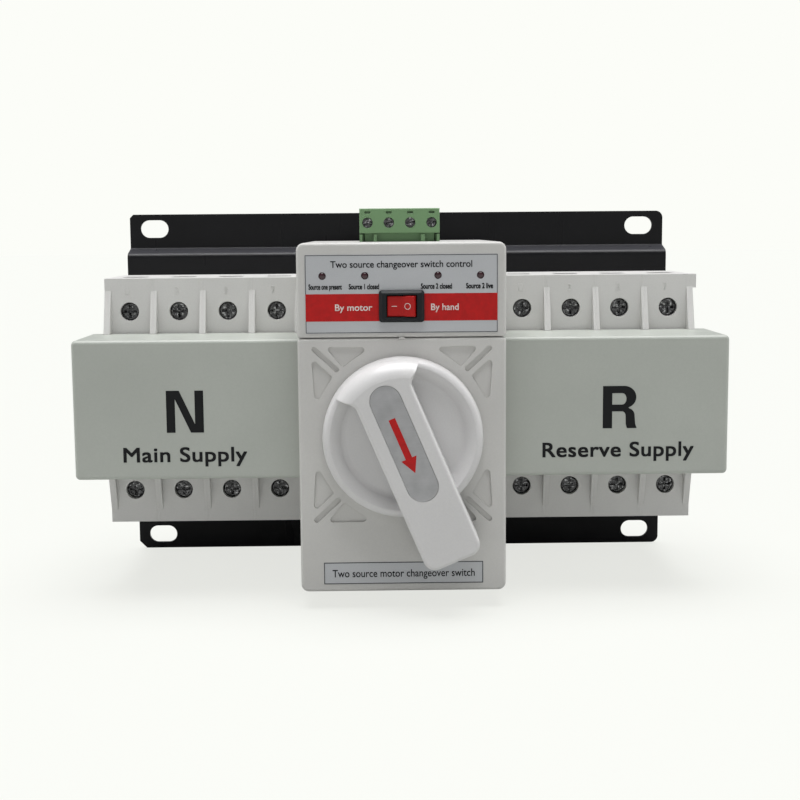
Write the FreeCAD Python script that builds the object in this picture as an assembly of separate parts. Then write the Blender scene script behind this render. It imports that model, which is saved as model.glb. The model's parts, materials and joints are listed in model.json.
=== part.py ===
import FreeCAD, Part
import math
import os

Vector = FreeCAD.Vector

# Transfer switch: two four-pole breakers on a bent base plate, a centre unit with a drive,
# and a rotary handle. Millimetres. +X is right, +Z is up, the front faces -Y.
# The origin is the centre of the four mounting slots, on the back plane of the base plate.
# "Depth" is the distance in front of that plane, so y = -depth.

# ---------------------------------------------------------------- base plate
PLATE_HALF_WIDTH = 107.5
PLATE_HALF_HEIGHT = 68.4
SHEET = 1.5
STEP_DEPTH = 7.9                      # how far the middle of the plate stands forward
PLATE_FRONT = STEP_DEPTH + SHEET
FLANGE_END = 54.8                     # height where the flange meets the slope
RAISED_END = 52.6                     # height where the raised middle begins
BEND_OUTER = 2.3
BEND_INNER = 0.8
SLOT_X = 97.7
SLOT_Z = 62.6
SLOT_LENGTH = 11.2
SLOT_WIDTH = 7.0

# ---------------------------------------------------------------- breakers
POLES = 4
POLE_WIDTH = 18.0                     # one module, with the poles side by side
FIRST_POLE_X = 45.3                   # centre of the pole next to the centre unit
BREAKER_Z = -0.9
POLE_HALF_HEIGHT = 45.4
SHOULDER = 53.5                       # depth of the terminal shoulders
NOSE_FRONT = 70.6
NOSE_HALF_HEIGHT = 21.6
BACK_CHAMFER = 3.0
CASE_WALL = 1.8
SHOULDER_WALL = 2.2
SIDE_WALL = 1.15
END_WALL = 2.3
RIB_START = 40.9                      # height where a rib rises out of the shoulder
RIB_END = 25.3
RIB_RISE = 4.8
TERMINAL_Z = 33.3                     # height of the terminal screws above the breaker's middle
DRIVER_HOLE_R = 3.4
ENTRY_HALF_X = 4.6
ENTRY_DEPTHS = (31.6, 42.4)
ENTRY_CORNER = 1.6
PARTITION = (26.0, 27.2)
RIVET_R = 1.5
RIVET_PLACES = [(15.0, 39.0), (15.0, -39.0), (49.0, 20.0), (49.0, -20.0)]
SCREW_R = 1.9
PILOT_R = 1.95
BREAKER_SCREW_Z = 30.0

# ---------------------------------------------------------------- terminals
CAGE_HALF_X = 5.2
CAGE_DEPTHS = (30.0, 44.0)
CAGE_HEIGHTS = (28.3, 38.3)
CAGE_WALL = 1.1
TAB_DEPTHS = (31.3, 32.8)
TAB_HALF_X = 3.5
CLAMP_SCREW_TIP = 40.2
CLAMP_HEAD = (49.3, 51.9)
CLAMP_HEAD_R = 3.15
CLAMP_SHANK_R = 2.4

# ---------------------------------------------------------------- drive
HANDLE_Z = -7.8
HANDLE_REST = 23.0                    # degrees of the lever from straight down, to the right
HANDLE_SWING = 46.0
GEAR_R = 20.0
GEAR_TEETH = 40
PINION_TEETH = 12
MODULE = 1.0
GEAR_DEPTHS = (82.0, 87.0)
SLIDE_TRAVEL = GEAR_R * math.radians(HANDLE_SWING)
TOGGLE_SWING = 1.25 * HANDLE_SWING
CONTACT_SWING = 0.375 * HANDLE_SWING
TOGGLE_PIVOT = 62.5                   # depth of the toggles' pivot
TOGGLE_RADIUS = SLIDE_TRAVEL / (2 * math.sin(math.radians(TOGGLE_SWING / 2)))
TIE_R = 2.5
CONTACT_PIVOT = (46.0, 4.0)           # depth and height of the contact arms' pivot
PIN_R = 1.5
PIN_BORE_R = 1.56
SHAFT_R = 4.0
SHAFT_BORE_R = 4.08
MOTOR_SHAFT_R = 2.0
RAIL_X = (21.6, 25.2)                 # rails that carry the slides, front and rear
RAIL_Z = (-36.5, 21.5)
WINDOW_DEPTHS = (73.8, 82.8)          # openings in the side walls for the tie bars
WINDOW_HALF_HEIGHT = 11.4

# ---------------------------------------------------------------- centre unit
BOX_HALF_WIDTH = 35.3
BOX_FRONT = 98.0
BOX_WALL = 2.0
DRIVE_BOTTOM = -62.3
DRIVE_TOP = 25.2
CONTROL_BOTTOM = 25.45
CONTROL_TOP = 57.3
DRIVE_SEAM = 56.0                     # depth of the joint between the tub and the front shell
CONTROL_SEAM = 30.0
POST_R = 3.5
POSTS = [(16.0, 18.5), (-16.0, 18.5), (16.0, -46.0), (-16.0, -46.0)]
CONTROL_POSTS = [(20.0, 42.0), (-20.0, 42.0)]
FRAME_DEPTHS = (68.0, 70.0)
CORNER_R = 2.6

# ---------------------------------------------------------------- covers
COVER_HALF_HEIGHT = 24.35
COVER_OUTER_X = 114.0
COVER_DEPTHS = (54.3, 87.3)
COVER_WALL = 1.6

# ---------------------------------------------------------------- controls
LABEL_HALF_X = 32.4
LABEL_HEIGHTS = (26.95, 53.3)
LABEL_THICKNESS = 0.3
LAMP_X = [-26.6, -12.3, 12.3, 26.6]
LAMP_Z = 46.25
LAMP_R = 1.5
LAMP_DOME = 97.1                      # depth of the centre of a lamp's round end
ROCKER_Z = 36.0
ROCKER_PIVOT = 98.6                   # depth of the rocker's axis
ROCKER_R = 4.9                        # its ends are arcs about that axis
ROCKER_HALF_HEIGHT = 3.45
ROCKER_TILT = 11.4
ROCKER_PIN_R = 0.5
ROCKER_HOLE = (6.8, 4.5)              # half sizes of the hole for the rocker's frame
TERMINAL_HALF_X = 14.3
TERMINAL_DEPTHS = (52.3, 66.7)
TERMINAL_PITCH = 7.62
TERMINAL_X = [TERMINAL_PITCH * (k - 1.5) for k in range(4)]
PLUG_SCREW_Z = 64.05

# ---------------------------------------------------------------- handle
DISC_R = 27.0
DISC_BACK = 98.5
DISC_FLOOR = 103.2
LEVER_BACK = 101.5
LEVER_FRONT = 115.5
LEVER_HALF_WIDTH = 9.95
LEVER_LENGTH = 44.05
PLAQUE_HALF_WIDTH = 5.2
PLAQUE_ENDS = (19.9, 21.1)            # reach of the plaque above and below the axis
PLAQUE_DEPTHS = (114.9, 115.3)

parts = {}


# ================================================================ helpers
def box(x0, x1, d0, d1, z0, z1):
    """A block between two x, two depths and two heights."""
    return Part.makeBox(x1 - x0, d1 - d0, z1 - z0, Vector(x0, -d1, z0))


def rod_x(x0, x1, depth, z, radius):
    return Part.makeCylinder(radius, x1 - x0, Vector(x0, -depth, z), Vector(1, 0, 0))


def rod_d(x, z, radius, d0, d1):
    """A round bar that runs forward from depth d0 to depth d1."""
    return Part.makeCylinder(radius, d1 - d0, Vector(x, -d0, z), Vector(0, -1, 0))


def rod_z(x, depth, radius, z0, z1):
    return Part.makeCylinder(radius, z1 - z0, Vector(x, -depth, z0), Vector(0, 0, 1))


def slab_x(points, x0, x1):
    """A side outline of (depth, height) points, extruded from x0 to x1."""
    corners = [Vector(x0, -d, z) for d, z in points]
    face = Part.Face(Part.makePolygon(corners + corners[:1]))
    return face.extrude(Vector(x1 - x0, 0, 0))


def slab_d(points, d0, d1):
    """A front outline of (x, height) points, extruded from depth d0 to d1."""
    corners = [Vector(x, -d0, z) for x, z in points]
    face = Part.Face(Part.makePolygon(corners + corners[:1]))
    return face.extrude(Vector(0, d0 - d1, 0))


def slab_z(points, z0, z1):
    """A plan outline of (x, depth) points, extruded from height z0 to z1."""
    corners = [Vector(x, -d, z0) for x, d in points]
    face = Part.Face(Part.makePolygon(corners + corners[:1]))
    return face.extrude(Vector(0, 0, z1 - z0))


def rounded_slab_d(points, radii, d0, d1):
    """As slab_d, with every corner rounded by its own radius."""
    count = len(points)
    corners = [Vector(x, -d0, z) for x, z in points]
    starts = []
    arcs = []
    ends = []
    for k in range(count):
        corner = corners[k]
        before = (corners[k - 1] - corner).normalize()
        after = (corners[(k + 1) % count] - corner).normalize()
        half = before.getAngle(after) / 2
        setback = radii[k] / math.tan(half)
        middle = (before + after).normalize()
        near = corner + middle * (radii[k] / math.sin(half) - radii[k])
        starts.append(corner + before * setback)
        ends.append(corner + after * setback)
        arcs.append(Part.Arc(starts[k], near, ends[k]).toShape())
    edges = []
    for k in range(count):
        edges.append(arcs[k])
        edges.append(Part.makeLine(ends[k], starts[(k + 1) % count]))
    face = Part.Face(Part.Wire(edges))
    return face.extrude(Vector(0, d0 - d1, 0))


def stadium_d(x, z, length, width, d0, d1):
    """A bar with round ends, its length along X, running forward in depth."""
    half = (length - width) / 2
    middle = box(x - half, x + half, d0, d1, z - width / 2, z + width / 2)
    return fuse([middle, rod_d(x - half, z, width / 2, d0, d1), rod_d(x + half, z, width / 2, d0, d1)])


def fuse(shapes):
    joined = shapes[0]
    for shape in shapes[1:]:
        joined = joined.fuse(shape)
    return joined.removeSplitter()


def cut(shape, tools):
    for tool in tools:
        shape = shape.cut(tool)
    return shape


def fillet(shape, radius, chosen):
    """Round the edges for which chosen(bounding box) is true."""
    edges = [edge for edge in shape.Edges if chosen(edge.BoundBox)]
    return shape.makeFillet(radius, edges)


def runs_along(bounds, axis):
    """True for a straight edge along one axis."""
    lengths = {"x": bounds.XLength, "d": bounds.YLength, "z": bounds.ZLength}
    others = [lengths[name] for name in lengths if name != axis]
    return max(others) < 0.001


def turned(shape, centre, axis, degrees):
    copy = shape.copy()
    copy.rotate(centre, axis, degrees)
    return copy


def at_front(bounds, depth):
    return abs(bounds.YMin + depth) < 0.001 and abs(bounds.YMax + depth) < 0.001


def breaker_pole_x(side):
    """The centres of one breaker's poles, from the left: side is -1 for the normal source."""
    centres = [side * (FIRST_POLE_X + POLE_WIDTH * k) for k in range(POLES)]
    return sorted(centres)


# ================================================================ base plate
def base_plate():
    front = [(SHEET, PLATE_HALF_HEIGHT), (SHEET, FLANGE_END), (PLATE_FRONT, RAISED_END)]
    back = [(0, PLATE_HALF_HEIGHT), (0, FLANGE_END - SHEET), (STEP_DEPTH, RAISED_END - SHEET)]
    lower_front = [(d, -z) for d, z in reversed(front)]
    lower_back = [(d, -z) for d, z in back]
    outline = front + lower_front + lower_back + list(reversed(back))
    plate = slab_x(outline, -PLATE_HALF_WIDTH, PLATE_HALF_WIDTH)

    def bend(depth, height):
        def chosen(bounds):
            level = abs(abs(bounds.ZMin) - height) < 0.01 and abs(bounds.YMin + depth) < 0.01
            return level and runs_along(bounds, "x")
        return chosen

    plate = fillet(plate, BEND_OUTER, bend(PLATE_FRONT, RAISED_END))
    plate = fillet(plate, BEND_INNER, bend(STEP_DEPTH, RAISED_END - SHEET))
    plate = fillet(plate, BEND_INNER, bend(SHEET, FLANGE_END))
    plate = fillet(plate, BEND_OUTER, bend(0, FLANGE_END - SHEET))

    # The left corners are cropped straight, the right corners are rounded.
    blank = box(-PLATE_HALF_WIDTH, PLATE_HALF_WIDTH, -1, 12, -PLATE_HALF_HEIGHT, PLATE_HALF_HEIGHT)
    upper_left = [edge for edge in blank.Edges if edge.BoundBox.XMax < 0 and edge.BoundBox.ZMin > 0]
    upper_left = [edge for edge in upper_left if runs_along(edge.BoundBox, "d")]
    blank = blank.makeChamfer(1.4, upper_left)
    lower_left = [edge for edge in blank.Edges if edge.BoundBox.XMax < 0 and edge.BoundBox.ZMax < 0]
    lower_left = [edge for edge in lower_left if runs_along(edge.BoundBox, "d")]
    blank = blank.makeChamfer(2.9, lower_left)
    blank = fillet(blank, 2.8, lambda bounds: bounds.XMin > 0 and runs_along(bounds, "d"))
    plate = plate.common(blank)

    holes = []
    for x in (-SLOT_X, SLOT_X):
        for z in (-SLOT_Z, SLOT_Z):
            holes.append(stadium_d(x, z, SLOT_LENGTH, SLOT_WIDTH, -1, 3))
    for x, z in screw_places():
        holes.append(rod_d(x, z, SCREW_R + 0.2, STEP_DEPTH - 1, PLATE_FRONT + 1))
    return cut(plate, holes)


def breaker_screw_places():
    places = []
    for side in (-1, 1):
        centres = breaker_pole_x(side)
        for x in (centres[0], centres[-1]):
            for z in (-BREAKER_SCREW_Z, BREAKER_SCREW_Z):
                places.append((x, BREAKER_Z + z))
    return places


def screw_places():
    return breaker_screw_places() + POSTS + CONTROL_POSTS


def pan_screw(x, z, head_depth, tip_depth, head_r):
    """A pan-head screw: its head starts at head_depth and its tip ends at tip_depth."""
    way = 1 if tip_depth > head_depth else -1
    neck = head_depth + way * 2.2
    head = rod_d(x, z, head_r, min(head_depth, neck), max(head_depth, neck))
    head = fillet(head, 0.8, lambda bounds: at_front(bounds, head_depth))
    shank = rod_d(x, z, SCREW_R, min(neck, tip_depth), max(neck, tip_depth))
    bottom = head_depth + way * 1.2
    near = min(head_depth - way * 0.5, bottom)
    far = max(head_depth - way * 0.5, bottom)
    across = box(x - 2.0, x + 2.0, near, far, z - 0.45, z + 0.45)
    upright = box(x - 0.45, x + 0.45, near, far, z - 2.0, z + 2.0)
    return cut(fuse([head, shank]), [across, upright])


# ================================================================ breaker poles
def pole_outline(inset, shoulder_inset):
    """The pole's side outline about the breaker's middle, drawn in by a wall thickness."""
    upper = [
        (PLATE_FRONT + inset, POLE_HALF_HEIGHT - BACK_CHAMFER),
        (PLATE_FRONT + BACK_CHAMFER, POLE_HALF_HEIGHT - inset),
        (SHOULDER - shoulder_inset, POLE_HALF_HEIGHT - inset),
        (SHOULDER - shoulder_inset, NOSE_HALF_HEIGHT - inset),
        (NOSE_FRONT - inset, NOSE_HALF_HEIGHT - inset),
    ]
    lower = [(d, -z) for d, z in reversed(upper)]
    return upper + lower


def raised(points):
    """Move an outline from the breaker's own middle to its place on the plate."""
    return [(d, z + BREAKER_Z) for d, z in points]


def shoulder_ribs(x0, x1):
    """The two wedges that stand between neighbouring terminals."""
    root = SHOULDER - 1
    wedge = [(root, RIB_START), (SHOULDER, RIB_START), (SHOULDER + RIB_RISE, RIB_END), (root, RIB_END)]
    mirrored = [(d, -z) for d, z in wedge]
    return [slab_x(raised(wedge), x0, x1), slab_x(raised(mirrored), x0, x1)]


def rivet_holes(x0, x1):
    return [rod_x(x0 - 1, x1 + 1, d, z + BREAKER_Z, RIVET_R + 0.05) for d, z in RIVET_PLACES]


def pole_walls(index):
    """Thickness of a pole's case wall and of its lid: the breaker's two ends are thicker."""
    wall = END_WALL if index == 0 else SIDE_WALL
    lid = END_WALL if index == POLES - 1 else SIDE_WALL
    return wall, lid


def pole_case(side, index):
    x = breaker_pole_x(side)[index]
    wall, lid = pole_walls(index)
    left = x - POLE_WIDTH / 2
    right = x + POLE_WIDTH / 2 - lid
    inner = left + wall
    shell = slab_x(raised(pole_outline(0, 0)), left, right)
    hollow = slab_x(raised(pole_outline(CASE_WALL, SHOULDER_WALL)), inner, right + 1)
    shell = shell.cut(hollow)

    details = shoulder_ribs(left, inner)
    for sign in (-1, 1):
        low, high = sorted((sign * PARTITION[0] + BREAKER_Z, sign * PARTITION[1] + BREAKER_Z))
        inside = (PLATE_FRONT + 1, SHOULDER - 1)
        partition = box(inner - 0.5, right, inside[0], inside[1], low, high)
        notch = box(x - 4, x + 4, TAB_DEPTHS[0] - 0.4, TAB_DEPTHS[1] + 0.4, low - 1, high + 1)
        details.append(partition.cut(notch))
        screw_z = sign * BREAKER_SCREW_Z + BREAKER_Z
        if index in (0, POLES - 1):
            details.append(rod_d(x, screw_z, POST_R, PLATE_FRONT, 20.0))
    for d, z in RIVET_PLACES:
        details.append(rod_x(inner - 0.5, right, d, z + BREAKER_Z, 2.6))
    details.append(rod_x(inner - 0.5, right, TOGGLE_PIVOT, BREAKER_Z, PIN_R))
    details.append(rod_x(inner - 0.5, right, CONTACT_PIVOT[0], CONTACT_PIVOT[1] + BREAKER_Z, PIN_R))
    case = fuse([shell] + details)

    tools = rivet_holes(left, right)
    toggle_slot = box(x - 3.9, x + 3.9, NOSE_FRONT - 3, NOSE_FRONT + 1, BREAKER_Z - 7.8, BREAKER_Z + 7.8)
    tools.append(toggle_slot)
    for sign in (-1, 1):
        terminal_z = sign * TERMINAL_Z + BREAKER_Z
        tools.append(rod_d(x, terminal_z, DRIVER_HOLE_R, SHOULDER - 4, SHOULDER + 8))
        ends = (sign * (POLE_HALF_HEIGHT - 4), sign * (POLE_HALF_HEIGHT + 1))
        low, high = sorted(z + BREAKER_Z for z in ends)
        entry = box(x - ENTRY_HALF_X, x + ENTRY_HALF_X, ENTRY_DEPTHS[0], ENTRY_DEPTHS[1], low, high)
        tools.append(fillet(entry, ENTRY_CORNER, lambda bounds: runs_along(bounds, "z")))
        if index in (0, POLES - 1):
            tools.append(rod_d(x, sign * BREAKER_SCREW_Z + BREAKER_Z, PILOT_R, PLATE_FRONT - 1, 19.0))
    return cut(case, tools)


def pole_lid(side, index):
    x = breaker_pole_x(side)[index]
    lid = pole_walls(index)[1]
    right = x + POLE_WIDTH / 2
    left = right - lid
    plate = slab_x(raised(pole_outline(0, 0)), left, right)
    pieces = [plate] + shoulder_ribs(left, right)
    if side > 0 and index == POLES - 1:
        ledge_top = POLE_HALF_HEIGHT + BREAKER_Z
        pieces.append(box(left, right + 1.3, SHOULDER - 6, SHOULDER, ledge_top - 5, ledge_top))
    return cut(fuse(pieces), rivet_holes(left, right))


def terminal_cage(x, sign):
    """The steel box that pulls the wire against the tab when its screw turns."""
    low, high = sorted((sign * CAGE_HEIGHTS[0] + BREAKER_Z, sign * CAGE_HEIGHTS[1] + BREAKER_Z))
    outer = box(x - CAGE_HALF_X, x + CAGE_HALF_X, CAGE_DEPTHS[0], CAGE_DEPTHS[1], low, high)
    outer = fillet(outer, 0.8, lambda bounds: runs_along(bounds, "z"))
    inner_x = CAGE_HALF_X - CAGE_WALL
    back, front = CAGE_DEPTHS
    inner = box(x - inner_x, x + inner_x, back + CAGE_WALL, front - CAGE_WALL, low - 1, high + 1)
    thread = rod_d(x, sign * TERMINAL_Z + BREAKER_Z, CLAMP_SHANK_R + 0.05, front - 2, front + 1)
    return cut(outer, [inner, thread])


def terminal_screw(x, sign):
    z = sign * TERMINAL_Z + BREAKER_Z
    head = rod_d(x, z, CLAMP_HEAD_R, CLAMP_HEAD[0], CLAMP_HEAD[1])
    head = fillet(head, 0.5, lambda bounds: at_front(bounds, CLAMP_HEAD[1]))
    shank = rod_d(x, z, CLAMP_SHANK_R, CLAMP_SCREW_TIP, CLAMP_HEAD[0])
    front = CLAMP_HEAD[1]
    slots = []
    for long_x, long_z in ((2.4, 0.5), (0.5, 2.4)):
        slots.append(box(x - long_x, x + long_x, front - 1.5, front + 1, z - long_z, z + long_z))
    return cut(fuse([head, shank]), slots)


def fixed_contact(x):
    """Strip from the lower terminal to the fixed contact pad."""
    back, front = TAB_DEPTHS
    strip = [
        (21.5, -0.4), (21.5, -24.5), (back, -24.5), (back, -38.0), (front, -38.0), (front, -23.0),
        (23.0, -23.0), (23.0, -0.4), (29.0, -0.4), (29.0, 1.1), (21.5, 1.1),
    ]
    pad = rod_z(x, 26.0, 2.0, BREAKER_Z + 1.1, BREAKER_Z + 1.9)
    return fuse([slab_x(raised(strip), x - TAB_HALF_X, x + TAB_HALF_X), pad])


def moving_contact(x, is_open):
    """Contact arm with its button, closed or swung up to its open position."""
    depth, height = CONTACT_PIVOT
    z = height + BREAKER_Z
    hub = rod_x(x - 2.5, x + 2.5, depth, z, 3.0)
    arm = box(x - 2.0, x + 2.0, 24.5, depth, z - 1, z + 1)
    button = rod_z(x, 26.0, 1.9, z - 1.8, z - 0.9)
    bore = rod_x(x - 4, x + 4, depth, z, PIN_BORE_R)
    arm = fuse([hub, arm, button]).cut(bore)
    angle = CONTACT_SWING if is_open else 0
    return turned(arm, Vector(x, -depth, z), Vector(1, 0, 0), angle)


def trip_unit(x):
    """Strip from the upper terminal, trip coil and bimetal."""
    floor = BREAKER_Z
    tab = box(x - TAB_HALF_X, x + TAB_HALF_X, TAB_DEPTHS[0], TAB_DEPTHS[1], floor + 22.4, floor + 38.0)
    bridge = box(x - TAB_HALF_X, x + TAB_HALF_X, TAB_DEPTHS[0], 42.0, floor + 22.4, floor + 23.9)
    bimetal = box(x - 2.5, x + 2.5, 41.2, 42.0, floor + 9.5, floor + 23.0)
    turns = [rod_z(x, 36.0, 4.3, floor + 11.4 + 1.6 * k, floor + 12.4 + 1.6 * k) for k in range(7)]
    core = rod_z(x, 36.0, 3.7, floor + 11.0, floor + 22.6)
    return fuse([tab, bridge, bimetal, core] + turns)


def arc_chute(x):
    """Stack of thin splitter plates held by a side board."""
    board = box(x - 6.0, x - 5.3, 25.0, 44.0, BREAKER_Z - 20.0, BREAKER_Z - 5.0)
    plates = [board]
    for k in range(8):
        depth = 26.0 + 2.3 * k
        plates.append(box(x - 5.5, x + 5.5, depth, depth + 0.9, BREAKER_Z - 19.0, BREAKER_Z - 6.0))
    return fuse(plates)


def toggle_angle(side):
    """Rest angle of a breaker's toggles: the reserve side is up, the normal side is down."""
    return side * TOGGLE_SWING / 2


def tie_place(side):
    angle = math.radians(toggle_angle(side))
    depth = TOGGLE_PIVOT + TOGGLE_RADIUS * math.cos(angle)
    return depth, BREAKER_Z + TOGGLE_RADIUS * math.sin(angle)


def toggle(side, x):
    tip = TOGGLE_PIVOT + TOGGLE_RADIUS
    hub = rod_x(x - 3.2, x + 3.2, TOGGLE_PIVOT, BREAKER_Z, 5.6)
    neck = box(x - 3.2, x + 3.2, TOGGLE_PIVOT, tip, BREAKER_Z - 2.2, BREAKER_Z + 2.2)
    ring = rod_x(x - 3.2, x + 3.2, tip, BREAKER_Z, 3.9)
    body = fuse([hub, neck, ring])
    bores = [
        rod_x(x - 5, x + 5, TOGGLE_PIVOT, BREAKER_Z, PIN_BORE_R),
        rod_x(x - 5, x + 5, tip, BREAKER_Z, TIE_R + 0.03),
    ]
    body = cut(body, bores)
    return turned(body, Vector(x, -TOGGLE_PIVOT, BREAKER_Z), Vector(1, 0, 0), -toggle_angle(side))


def tie_bar(side):
    depth, z = tie_place(side)
    ends = sorted((side * 28.2, side * 105.5))
    return rod_x(ends[0], ends[1], depth, z, TIE_R)


def rivets():
    shapes = []
    for side in (-1, 1):
        centres = breaker_pole_x(side)
        left = centres[0] - POLE_WIDTH / 2
        right = centres[-1] + POLE_WIDTH / 2
        for d, z in RIVET_PLACES:
            height = z + BREAKER_Z
            body = rod_x(left, right, d, height, RIVET_R)
            heads = [rod_x(left - 0.8, left, d, height, 2.6), rod_x(right, right + 0.8, d, height, 2.6)]
            shapes.append(fuse([body] + heads))
    return Part.makeCompound(shapes)


def make_breaker(side, name):
    centres = breaker_pole_x(side)
    for index in range(POLES):
        parts[f"{name}_pole_case_{index + 1}"] = pole_case(side, index)
        parts[f"{name}_pole_lid_{index + 1}"] = pole_lid(side, index)
    ends = [(x, sign) for x in centres for sign in (-1, 1)]
    parts[f"{name}_wire_clamps"] = Part.makeCompound([terminal_cage(x, sign) for x, sign in ends])
    parts[f"{name}_terminal_screws"] = Part.makeCompound([terminal_screw(x, sign) for x, sign in ends])
    parts[f"{name}_fixed_contacts"] = Part.makeCompound([fixed_contact(x) for x in centres])
    parts[f"{name}_moving_contacts"] = Part.makeCompound([moving_contact(x, side < 0) for x in centres])
    parts[f"{name}_trip_units"] = Part.makeCompound([trip_unit(x) for x in centres])
    parts[f"{name}_arc_chutes"] = Part.makeCompound([arc_chute(x) for x in centres])
    parts[f"{name}_toggles"] = Part.makeCompound([toggle(side, x) for x in centres])
    parts[f"{name}_tie_bar"] = tie_bar(side)
    parts[f"{name}_cover"] = cover(side)
    parts[f"{name}_drive_slide"] = drive_slide(side)


# ================================================================ covers
def cover(side):
    """Hood over one breaker's toggles, open at the back and towards the centre unit."""
    x0, x1 = sorted((side * (BOX_HALF_WIDTH + 0.1), side * COVER_OUTER_X))
    shell = box(x0, x1, COVER_DEPTHS[0], COVER_DEPTHS[1], -COVER_HALF_HEIGHT, COVER_HALF_HEIGHT)
    outer = side * COVER_OUTER_X

    def outer_corner(bounds):
        return abs(bounds.XMin - outer) < 0.01 and runs_along(bounds, "d")

    def front_rim(bounds):
        inner_end = abs(bounds.XMin - side * (BOX_HALF_WIDTH + 0.1)) < 0.01 and runs_along(bounds, "z")
        return at_front(bounds, COVER_DEPTHS[1]) and not inner_end

    shell = fillet(shell, 1.6, outer_corner)
    shell = fillet(shell, 1.3, front_rim)
    inner = sorted((side * (BOX_HALF_WIDTH - 1), side * (COVER_OUTER_X - COVER_WALL)))
    height = COVER_HALF_HEIGHT - COVER_WALL
    hollow = box(inner[0], inner[1], COVER_DEPTHS[0] - 1, COVER_DEPTHS[1] - COVER_WALL, -height, height)
    hollow = fillet(hollow, 0.8, lambda bounds: runs_along(bounds, "x") and bounds.YMin < -80)
    shell = shell.cut(hollow)

    # Ribs inside the hood rest on the noses of the breakers and hold it in place.
    ribs = []
    for x in breaker_pole_x(side):
        nose_top = NOSE_HALF_HEIGHT + BREAKER_Z
        nose_bottom = -NOSE_HALF_HEIGHT + BREAKER_Z
        ribs.append(box(x - 0.7, x + 0.7, 59.5, 70.0, nose_top, height + 0.5))
        ribs.append(box(x - 0.7, x + 0.7, 59.5, 70.0, -height - 0.5, nose_bottom))
    return fuse([shell] + ribs)


# ================================================================ drive
def involute_tooth(teeth, tip_factor, thickness):
    """One flank of a tooth: (radius, half angle) pairs from its start to its tip."""
    pitch_r = MODULE * teeth / 2
    base_r = pitch_r * math.cos(math.radians(20))
    tip_r = pitch_r + tip_factor * MODULE
    start_r = max(base_r, pitch_r - 1.1 * MODULE)

    def spread(radius):
        roll = math.sqrt(max((radius / base_r) ** 2 - 1, 0))
        return roll - math.atan(roll)

    half_at_pitch = thickness / 2 / pitch_r
    radii = [start_r + (tip_r - start_r) * k / 4 for k in range(5)]
    return [(radius, half_at_pitch + spread(pitch_r) - spread(radius)) for radius in radii]


def gear_wheel(x, z, teeth, first_tooth, d0, d1):
    """A spur gear whose first tooth points at the given angle, in degrees from +X towards +Z."""
    pitch_r = MODULE * teeth / 2
    root_r = pitch_r - 1.2 * MODULE
    flank = involute_tooth(teeth, 0.9, 1.38)
    blank = rod_d(x, z, root_r, d0, d1)
    pieces = [blank]
    for k in range(teeth):
        centre = math.radians(first_tooth + 360.0 * k / teeth)
        left = [(root_r - 0.5, flank[0][1])] + flank
        right = [(radius, -half) for radius, half in reversed(left)]
        points = []
        for radius, offset in left + right:
            angle = centre + offset
            points.append((x + radius * math.cos(angle), z + radius * math.sin(angle)))
        pieces.append(slab_d(points, d0, d1))
    return fuse(pieces)


def drive_gear():
    wheel = gear_wheel(0, HANDLE_Z, GEAR_TEETH, 0, GEAR_DEPTHS[0], GEAR_DEPTHS[1])
    hub = rod_d(0, HANDLE_Z, 7.5, GEAR_DEPTHS[0] - 3, GEAR_DEPTHS[1] + 1.5)
    windows = []
    for k in range(6):
        angle = math.radians(60 * k)
        x = 12.6 * math.cos(angle)
        z = HANDLE_Z + 12.6 * math.sin(angle)
        windows.append(rod_d(x, z, 3.4, GEAR_DEPTHS[0] - 1, GEAR_DEPTHS[1] + 1))
    bore = rod_d(0, HANDLE_Z, SHAFT_R, GEAR_DEPTHS[0] - 5, GEAR_DEPTHS[1] + 5)
    return cut(fuse([wheel, hub]), windows + [bore])


def pinion_z():
    return HANDLE_Z - MODULE * (GEAR_TEETH + PINION_TEETH) / 2


def motor_pinion():
    half_pitch = 180.0 / PINION_TEETH
    wheel = gear_wheel(0, pinion_z(), PINION_TEETH, 90 + half_pitch, GEAR_DEPTHS[0], GEAR_DEPTHS[1])
    shaft = rod_d(0, pinion_z(), MOTOR_SHAFT_R, 60.0, 88.5)
    return fuse([wheel, shaft])


def motor():
    """Geared motor: gear case with a flange, motor can and end cap."""
    z = pinion_z()
    case = rod_d(0, z, 12.0, 50.0, 66.0)
    case = fillet(case, 0.8, lambda bounds: bounds.YMin > -51)
    flange = rod_d(0, z, 13.0, 66.0, FRAME_DEPTHS[0])
    neck = rod_d(0, z, 3.9, FRAME_DEPTHS[0], FRAME_DEPTHS[1] + 1)
    can = rod_d(0, z, 10.0, 22.0, 50.0)
    can = fillet(can, 1.5, lambda bounds: bounds.YMin > -23)
    cap = rod_d(0, z, 4.0, 20.0, 22.0)
    tags = [box(-7, -5, 17.5, 22.5, z - 1, z + 1), box(5, 7, 17.5, 22.5, z - 1, z + 1)]
    body = fuse([case, flange, neck, can, cap] + tags)
    return body.cut(rod_d(0, z, MOTOR_SHAFT_R + 0.06, 59.5, 72.0))


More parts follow.
